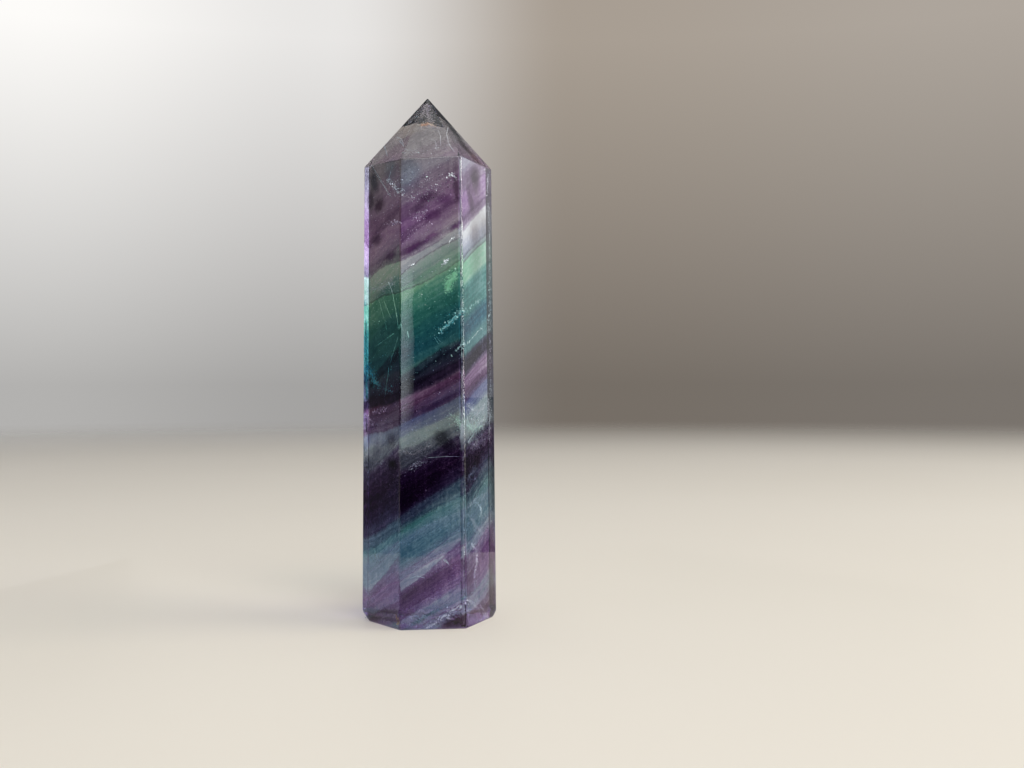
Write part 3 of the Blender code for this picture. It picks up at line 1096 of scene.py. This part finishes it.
# Each group: its film, the face, the line it follows in the picture, its depths, how many flecks, their
# sizes, their scatter about the line, and how squarely they face out, from 0 to 1
FLECK_GROUPS = (
    # across the green and on round the corner
    ("white", FRONT, ((438, 334), (450, 322), (463, 309)), (0.3, 1.4), 130, (0.08, 0.30), 0.50, 0.5),
    ("cyan", FRONT, ((440, 332), (452, 321), (463, 311)), (0.5, 1.6), 130, (0.07, 0.20), 0.55, 0.6),
    ("white", RIGHT, ((466, 312), (474, 305), (481, 298)), (0.3, 1.4), 70, (0.07, 0.22), 0.35, 0.5),
    ("white", FRONT, ((455, 351), (464, 343)), (0.3, 1.0), 45, (0.08, 0.24), 0.25, 0.5),
    ("white", RIGHT, ((467, 344), (474, 336), (481, 328)), (0.3, 1.0), 60, (0.07, 0.22), 0.14, 0.5),
    ("white", FRONT, ((407, 262), (420, 300), (432, 310)), (0.3, 1.6), 40, (0.05, 0.12), 1.2, 0.5),
    ("white", LEFT, ((378, 330), (392, 350), (388, 375)), (0.3, 1.6), 60, (0.05, 0.12), 1.3, 0.5),
    # frost low on the left face's green and on the dark bands below
    ("cyan", LEFT, ((366, 362), (371, 372), (376, 384)), (0.2, 1.4), 330, (0.07, 0.22), 0.75, 0.6),
    ("white", LEFT, ((366, 362), (371, 372), (377, 384)), (0.2, 1.2), 110, (0.06, 0.20), 0.75, 0.5),
    ("cyan", LEFT, ((365.5, 330), (366, 350), (366, 392)), (0.2, 1.2), 200, (0.06, 0.18), 0.35, 0.6),
    ("white", LEFT, ((366, 415), (371, 420), (375, 430)), (0.2, 1.4), 170, (0.06, 0.22), 0.75, 0.5),
    ("white", LEFT, ((372, 412), (386, 409)), (0.2, 1.2), 80, (0.06, 0.22), 0.40, 0.5),
    ("white", LEFT, ((366, 474), (377, 464), (385, 461)), (0.2, 1.8), 110, (0.05, 0.16), 0.80, 0.5),
    ("white", FRONT, ((409, 471), (416, 466), (423, 462)), (0.2, 1.6), 90, (0.05, 0.16), 0.55, 0.5),
    # sparkles under the shoulder and through the violet
    ("white", LEFT, ((388, 180), (394, 186), (399, 194)), (0.2, 1.4), 170, (0.08, 0.28), 0.70, 0.4),
    ("white", FRONT, ((401, 188), (412, 200), (424, 196), (437, 186)),
     (0.3, 2.5), 110, (0.05, 0.17), 0.95, 0.5),
    ("white", FRONT, ((413, 218), (420, 214), (427, 210)), (0.3, 1.8), 100, (0.06, 0.18), 0.65, 0.5),
    ("white", FRONT, ((405, 240), (412, 232), (430, 222)), (0.4, 2.2), 90, (0.05, 0.14), 1.0, 0.5),
    ("white", LEFT, ((393, 222), (399, 222)), (0.1, 0.5), 60, (0.08, 0.26), 0.25, 0.5),
    ("white", LEFT, ((384, 222), (393, 226)), (0.3, 1.6), 50, (0.05, 0.16), 0.70, 0.5),
    ("white", FRONT, ((449, 242), (454, 237)), (0.2, 0.8), 35, (0.07, 0.20), 0.20, 0.5),
    ("white", FRONT, ((442, 265), (450, 258)), (0.1, 0.7), 70, (0.08, 0.26), 0.28, 0.5),
    ("white", FRONT, ((408, 266), (414, 264)), (0.2, 0.8), 25, (0.07, 0.20), 0.20, 0.5),
    ("white", FRONT, ((448, 176), (452, 175), (456, 178)), (0.1, 0.6), 60, (0.09, 0.28), 0.22, 0.5),
    ("white", FRONT, ((434, 189), (439, 185)), (0.1, 0.6), 12, (0.08, 0.20), 0.35, 0.5),
    ("white", FRONT, ((402, 182), (455, 180)), (0.8, 6.0), 150, (0.05, 0.14), 2.2, 0.5),
    ("haze", FRONT, ((404, 168), (430, 200), (455, 182)), (0.3, 3.0), 420, (0.05, 0.16), 2.2, 0.6),
    # the tip
    ("amber", TIP_FRONT, ((422, 125), (428, 123.5), (436, 127)), (0.15, 0.9), 420, (0.05, 0.14), 0.50, 0.8),
    ("haze", TIP_FRONT, ((420, 128), (428, 126), (438, 128)), (0.15, 0.9), 420, (0.06, 0.16), 0.45, 0.8),
    ("haze", TIP_FRONT, ((414, 122), (420, 117), (424, 112)), (0.15, 0.9), 300, (0.06, 0.16), 0.45, 0.5),
    ("haze", TIP_FRONT, ((428, 106), (427, 114), (431, 122)), (0.15, 1.6), 450, (0.06, 0.20), 0.85, 0.7),
    ("pale", TIP_LEFT, ((422, 107), (414, 117), (408, 124)), (0.15, 1.0), 520, (0.05, 0.14), 0.50, 0.3),
    ("haze", TIP_LEFT, ((424, 105), (417, 113), (409, 122)), (0.15, 1.2), 1500, (0.06, 0.20), 0.70, 0.2),
    ("pale", TIP_LEFT, ((422, 108), (408, 124)), (0.15, 1.2), 260, (0.05, 0.16), 0.70, 0.8),
    ("haze", TIP_RIGHT, ((440, 112), (455, 130), (474, 150)), (0.2, 1.0), 160, (0.05, 0.15), 0.60, 0.7),
    ("pale", TIP_FRONT, ((405, 150), (420, 152), (445, 146)), (0.2, 1.5), 160, (0.05, 0.16), 0.9, 0.6),
    ("white", TIP_FRONT, ((404, 154), (424, 150), (447, 150)), (0.2, 1.5), 70, (0.04, 0.13), 0.9, 0.5),
    ("white", TIP_LEFT, ((384, 148), (396, 140), (404, 130)), (0.2, 1.5), 60, (0.05, 0.16), 0.8, 0.5),
    ("white", TIP_RIGHT, ((462, 148), (472, 156), (480, 161)), (0.15, 1.0), 80, (0.05, 0.16), 0.5, 0.5),
    # along the front right edge: bruises from handling, and also a painted highlight, pale flecks that
    # stand for the light the eased edge mirrors and cover the dark line that the easing shows
    ("pale", FRONT, ((459.9, 160), (460.9, 260), (462.3, 430)), (0.12, 0.35), 1900, (0.07, 0.15), 0.07, 0.9),
    ("pale", FRONT, ((462.8, 430), (463.4, 520), (464.0, 625)), (0.12, 0.35), 700, (0.06, 0.13), 0.06, 0.9),
    ("milk", FRONT, ((461.6, 425), (462.2, 520), (462.8, 625)), (0.15, 0.60), 4200, (0.08, 0.18), 0.17, 0.9),
    ("milk", FRONT, ((463.0, 428), (463.8, 520), (464.6, 622)), (0.20, 0.60), 2000, (0.06, 0.13), 0.09, 0.6),
    ("white", FRONT, ((460.6, 160), (460.8, 180)), (0.08, 0.25), 90, (0.07, 0.18), 0.05, 0.8),
    ("white", FRONT, ((461.0, 280), (461.2, 288)), (0.08, 0.25), 30, (0.07, 0.20), 0.05, 0.8),
    ("white", FRONT, ((462.3, 330), (462.8, 400)), (0.08, 0.25), 60, (0.06, 0.14), 0.05, 0.8),
    ("white", FRONT, ((463.6, 495), (464.2, 560)), (0.08, 0.25), 70, (0.06, 0.16), 0.05, 0.8),
    # pale clouds low on the right face
    ("pale", RIGHT, ((466, 424), (475, 430), (484, 420)), (0.3, 1.8), 900, (0.05, 0.15), 1.05, 0.7),
    ("milk", RIGHT, ((468, 446), (475, 440), (484, 434)), (0.3, 1.8), 500, (0.08, 0.20), 1.10, 0.7),
    ("pale", RIGHT, ((467, 404), (476, 414), (485, 404)), (0.3, 1.8), 800, (0.05, 0.15), 1.00, 0.7),
    ("green", RIGHT, ((467, 426), (474, 430), (483, 426)), (0.3, 1.8), 800, (0.04, 0.13), 0.80, 0.7),
    ("pale", RIGHT, ((467, 440), (476, 446), (486, 438)), (0.3, 1.8), 1000, (0.05, 0.15), 0.90, 0.7),
    ("pale", RIGHT, ((468, 514), (476, 526), (484, 536)), (0.3, 1.8), 700, (0.05, 0.15), 1.00, 0.7),
    ("pale", RIGHT, ((488, 398), (489.5, 420), (489, 440)), (0.2, 1.0), 420, (0.05, 0.15), 0.35, 0.7),
    ("milk", RIGHT, ((468, 478), (475, 470), (486, 460)), (0.3, 1.8), 400, (0.08, 0.20), 1.10, 0.7),
    ("pale", RIGHT, ((468, 508), (475, 500), (484, 494)), (0.3, 1.8), 420, (0.05, 0.15), 1.00, 0.7),
    ("haze", FRONT, ((403, 452), (414, 455), (430, 446)), (0.3, 2.0), 500, (0.05, 0.16), 0.95, 0.7),
    # along the right edge
    ("white", RIGHT, ((489, 275), (490, 305), (488, 325), (490, 345)),
     (0.2, 1.2), 150, (0.06, 0.20), 0.35, 0.5),
    ("pale", RIGHT, ((489, 205), (490, 280), (491, 430)), (0.1, 1.0), 800, (0.05, 0.16), 0.40, 0.6),
    ("white", RIGHT, ((484, 168), (488, 180), (487, 195)), (0.2, 1.0), 60, (0.06, 0.20), 0.30, 0.5),
    # the pale green cloud on the right face, and the bright green one beside the edge
    ("green", RIGHT, ((466, 424), (474, 426), (484, 418)), (0.3, 2.4), 420, (0.04, 0.13), 1.15, 0.6),
    ("green", RIGHT, ((468, 438), (476, 440), (482, 434)), (0.3, 2.2), 320, (0.04, 0.13), 1.00, 0.6),
    ("white", RIGHT, ((466, 418), (476, 420), (484, 424)), (0.3, 1.8), 120, (0.05, 0.16), 0.80, 0.5),
    ("green", FRONT, ((450, 414), (458, 420), (461, 428)), (0.5, 2.4), 300, (0.04, 0.12), 1.00, 0.6),
    ("leaf", FRONT, ((447, 290), (450, 281), (456, 273)), (0.8, 1.8), 1200, (0.05, 0.14), 0.55, 0.7),
    # the left strip and the frost beside it
    ("cyan", LEFT, ((366.2, 322), (366.4, 350), (366.8, 400)), (0.15, 0.7), 2600, (0.07, 0.18), 0.24, 0.1),
    ("pale", LEFT, ((366.4, 418), (366.8, 432)), (0.15, 0.7), 560, (0.06, 0.18), 0.26, 0.1),
    ("haze", LEFT, ((366, 455), (366.4, 540)), (0.15, 0.9), 1200, (0.06, 0.18), 0.34, 0.1),
    ("pale", LEFT, ((368, 290), (380, 288), (394, 282)), (0.3, 2.0), 620, (0.04, 0.13), 1.10, 0.3),
    ("cyan", LEFT, ((370, 380), (380, 386), (392, 392)), (0.3, 2.0), 320, (0.04, 0.13), 1.00, 0.3),
    # fine layers and white flakes near the base
    ("milk", FRONT, ((401, 612.5), (430, 613), (462, 612.5)), (0.3, 1.2), 900, (0.12, 0.28), 0.45, 0.8),
    ("milk", FRONT, ((401, 621), (430, 622), (462, 621)), (0.3, 1.2), 900, (0.12, 0.28), 0.50, 0.8),
    ("milk", LEFT, ((364, 610), (380, 611), (398, 612.5)), (0.3, 1.2), 600, (0.12, 0.26), 0.45, 0.8),
    ("milk", LEFT, ((366, 616), (380, 618), (398, 621)), (0.3, 1.2), 600, (0.12, 0.26), 0.45, 0.8),
    ("milk", RIGHT, ((467, 612), (480, 611), (490, 609)), (0.3, 1.2), 600, (0.12, 0.26), 0.45, 0.8),
    ("pale", RIGHT, ((469, 600), (478, 608), (487, 615)), (0.3, 1.6), 1000, (0.05, 0.16), 0.90, 0.6),
    ("stain", LEFT, ((396.0, 615), (397.0, 620), (398.0, 624)), (0.35, 0.6), 220, (0.07, 0.20), 0.16, 0.5),
    ("stain", LEFT, ((374.5, 549), (376, 558)), (0.1, 0.4), 26, (0.07, 0.18), 0.18, 0.6),
    ("white", FRONT, ((438, 620), (450, 612), (466, 603)), (0.1, 0.8), 240, (0.07, 0.26), 0.42, 0.5),
    ("white", FRONT, ((427, 628), (441, 620)), (0.1, 0.7), 100, (0.06, 0.18), 0.22, 0.5),
    ("white", FRONT, ((447, 618), (455, 620)), (0.1, 0.4), 40, (0.10, 0.28), 0.18, 0.6),
    ("white", FRONT, ((425, 600), (450, 590), (463, 570)), (0.2, 1.0), 320, (0.04, 0.13), 0.95, 0.4),
    ("white", RIGHT, ((471, 543), (476, 550), (477, 562), (474, 578)),
     (0.1, 1.0), 280, (0.07, 0.28), 0.50, 0.4),
    ("white", RIGHT, ((474, 500), (480, 506), (482, 516)), (0.1, 0.8), 150, (0.06, 0.24), 0.40, 0.4),
    ("pale", RIGHT, ((472, 500), (477, 550), (474, 600)), (0.3, 2.2), 800, (0.05, 0.16), 1.25, 0.6),
    ("white", RIGHT, ((476, 596), (481, 606), (487, 618)), (0.1, 0.8), 90, (0.06, 0.20), 0.45, 0.5),
    ("white", LEFT, ((374, 549), (378, 560)), (0.1, 0.4), 40, (0.08, 0.26), 0.15, 0.6),
    ("white", FRONT, ((444, 560), (448, 563)), (0.1, 0.4), 20, (0.07, 0.20), 0.12, 0.6),
    ("pale", LEFT, ((366, 590), (372, 600), (380, 612)), (0.3, 2.0), 160, (0.05, 0.15), 0.80, 0.6),
)
FILM_ROUGHNESS = 0.35
FLECK_BATCH = 150
for film, (tint, metallic) in FILMS.items():
    flecks = bmesh.new()
    for kind, face, pixels, depths, count, *rest in FLECK_GROUPS:
        for done in range(0, count if kind == film else 0, FLECK_BATCH):
            batch = bmesh.new()
            add_cluster(batch, face, pixels, depths, min(FLECK_BATCH, count - done), *rest)
            join_batch(flecks, batch)
    look = film_material(f"{film}_film", tint, FILM_ROUGHNESS, metallic, banded=film == "milk")
    finish_piece(f"veil_{film}", flecks, look)

# %% Dust through the whole stone
DUST_BATCHES = 20
DUST_BATCH = 200
DUST_INSIDE = 0.3 * MM
# Its box and its sizes in millimetres, and a fleck's width and thickness against its length
DUST_BOX = ((-11.0, 11.0), (-10.0, 10.0), (1.0, 88.0))
DUST_SIZES = (0.02, 0.09)
DUST_STRETCH = (0.4, 1.0)
DUST_THICKNESS = 0.2
dust = bmesh.new()
for _ in range(DUST_BATCHES):
    batch = bmesh.new()
    for _ in range(DUST_BATCH):
        place = Vector([dice.uniform(*side) for side in DUST_BOX]) * MM
        size = dice.uniform(*DUST_SIZES) * MM
        if inside_depth(place) > DUST_INSIDE:
            normal, stretch = random_direction(), dice.uniform(*DUST_STRETCH)
            add_fleck(batch, place, normal, size, stretch, 0.0, DUST_THICKNESS)
    join_batch(dust, batch)
tint, metallic = FILMS["white"]
finish_piece("fine_dust", dust, film_material("dust_film", tint, FILM_ROUGHNESS, metallic))

# %% [markdown]
# ## Needles and cracks
#
# A needle is a thin four-sided spike. A longer one bends a little, so it is given as a few places and made of
# joined spikes. A crack is the same thing flattened to a ribbon that faces out.

# %% Needles and cracks
NEEDLE_TAPER = 0.6
CRACK_THICKNESS = 0.12
NEEDLE_ROUGHNESS = 0.3
NEEDLE_METALLIC = 0.2


def add_needle(body, start, end, width, face, flat=1.0):
    """A thin spike between two places. Flat is its thickness as a share of its width."""
    along = (end - start).normalized()
    side = along.cross(face[1]).normalized()
    out = side.cross(along)
    turned = Matrix((side, out, along)).transposed().to_4x4()
    bmesh.ops.create_cone(
        body, cap_ends=True, segments=4, radius1=width, radius2=width * NEEDLE_TAPER,
        depth=(end - start).length,
        matrix=Matrix.Translation((start + end) / 2) @ turned @ Matrix.Diagonal((1.0, flat, 1.0, 1.0)),
    )


# Each needle: the face, its places in the picture, its depth at the first and the last, its half-width
NEEDLES = (
    (LEFT, ((388.5, 282), (392.6, 293), (396, 312), (399, 330)), 0.5, 1.2, 0.050),
    (LEFT, ((393.6, 333.5), (377, 345.7)), 0.5, 1.0, 0.045),
    (LEFT, ((398, 337), (394, 351), (389, 367), (384, 402)), 0.6, 1.5, 0.050),
    (LEFT, ((384, 301), (391, 318)), 0.6, 1.4, 0.030),
    (LEFT, ((379, 300), (387, 330)), 0.8, 1.4, 0.022),
    (FRONT, ((428, 457.7), (445, 456.6), (466, 456.5)), 0.3, 0.5, 0.035),
    (FRONT, ((410, 578.4), (417, 576), (425, 578)), 0.2, 0.3, 0.045),
    (FRONT, ((443.5, 559.5), (446.5, 560.5), (448.5, 565)), 0.2, 0.3, 0.045),
    (RIGHT, ((467.6, 442.5), (473.6, 434.4)), 0.2, 0.4, 0.060),
    (RIGHT, ((474.6, 570), (473.8, 577)), 0.2, 0.4, 0.085),
    (RIGHT, ((488.2, 174), (487.6, 189)), 0.2, 0.4, 0.060),
    (RIGHT, ((483.7, 609.3), (486.6, 616.2)), 0.2, 0.4, 0.035),
    (RIGHT, ((481.5, 607.0), (484.3, 616.2)), 0.2, 0.4, 0.030),
    (FRONT, ((434.4, 337.6), (438.5, 344.0)), 0.2, 0.5, 0.035),
    (FRONT, ((436.4, 336.6), (440.5, 342.0)), 0.2, 0.5, 0.030),
    (FRONT, ((407.2, 331.5), (408.7, 337.6)), 0.15, 0.3, 0.085),
    (FRONT, ((455.0, 268.0), (456.0, 269.5)), 0.15, 0.3, 0.14),
    (FRONT, ((451.0, 355.2), (452.2, 356.6)), 0.15, 0.3, 0.12),
    (FRONT, ((458.2, 296.0), (459.0, 297.2)), 0.15, 0.3, 0.09),
    (FRONT, ((427.8, 200.4), (428.8, 201.6)), 0.15, 0.3, 0.10),
    (FRONT, ((426.0, 177.2), (427.8, 176.4)), 0.15, 0.3, 0.12),
    (TIP_FRONT, ((418.0, 152.0), (419.0, 153.0)), 0.15, 0.3, 0.10),
    (TIP_FRONT, ((402.4, 152.0), (403.4, 153.0)), 0.15, 0.3, 0.10),
)
CRACKS = (
    (TIP_FRONT, ((448.0, 127.0), (446.5, 134.0), (449.0, 144.0), (454.5, 152.0)), 0.3, 0.5, 0.035),
    (TIP_FRONT, ((438.0, 130.0), (440.5, 136.0), (440.5, 146.0)), 0.6, 0.9, 0.025),
    (TIP_FRONT, ((430.0, 138.0), (435.5, 141.0), (437.0, 150.0)), 0.6, 0.9, 0.022),
    (TIP_LEFT, ((419.0, 116.0), (411.0, 127.0), (404.0, 141.0)), 0.3, 0.7, 0.05),
    (TIP_LEFT, ((397.0, 137.0), (401.5, 139.0), (403.5, 144.0)), 0.2, 0.4, 0.09),
    (LEFT, ((371.5, 165.5), (384.0, 186.0)), 0.2, 0.8, 0.20),
    (LEFT, ((384.0, 186.0), (391.0, 197.0)), 0.3, 0.6, 0.12),
    (LEFT, ((392.6, 165.0), (387.0, 185.0)), 0.5, 1.0, 0.10),
    (TIP_LEFT, ((384.0, 145.0), (387.5, 156.0)), 0.4, 0.8, 0.14),
    (TIP_LEFT, ((399.5, 140.5), (404.0, 146.5)), 0.3, 0.6, 0.14),
)
for name, lines, flat, colour in (
    ("needles", NEEDLES, 1.0, (0.72, 0.90, 0.86)),
    ("cracks", CRACKS, CRACK_THICKNESS, (0.75, 0.80, 0.85)),
):
    spikes = bmesh.new()
    for face, pixels, first_depth, last_depth, width in lines:
        steps = len(pixels) - 1
        depths = [first_depth + (last_depth - first_depth) * step / steps for step in range(steps + 1)]
        places = [beneath(pixel, depth, face) for pixel, depth in zip(pixels, depths)]
        for start, end in zip(places, places[1:]):
            add_needle(spikes, start, end, width * MM, face, flat)
    finish_piece(name, spikes, film_material(f"{name}_film", colour, NEEDLE_ROUGHNESS, NEEDLE_METALLIC))

# %% [markdown]
# ## Light bounces
#
# Light has to get into the stone, cross it and get out again, sometimes after several mirror turns inside.
# Too few bounces turn clear stone black, so the limits are raised.

# %% Enough bounces for clear stone
BOUNCES = 20
BRIGHTEST_SPARK = 4.0
scene.cycles.max_bounces = BOUNCES
scene.cycles.transmission_bounces = BOUNCES
scene.cycles.glossy_bounces = BOUNCES
scene.cycles.transparent_max_bounces = BOUNCES
scene.cycles.sample_clamp_indirect = BRIGHTEST_SPARK
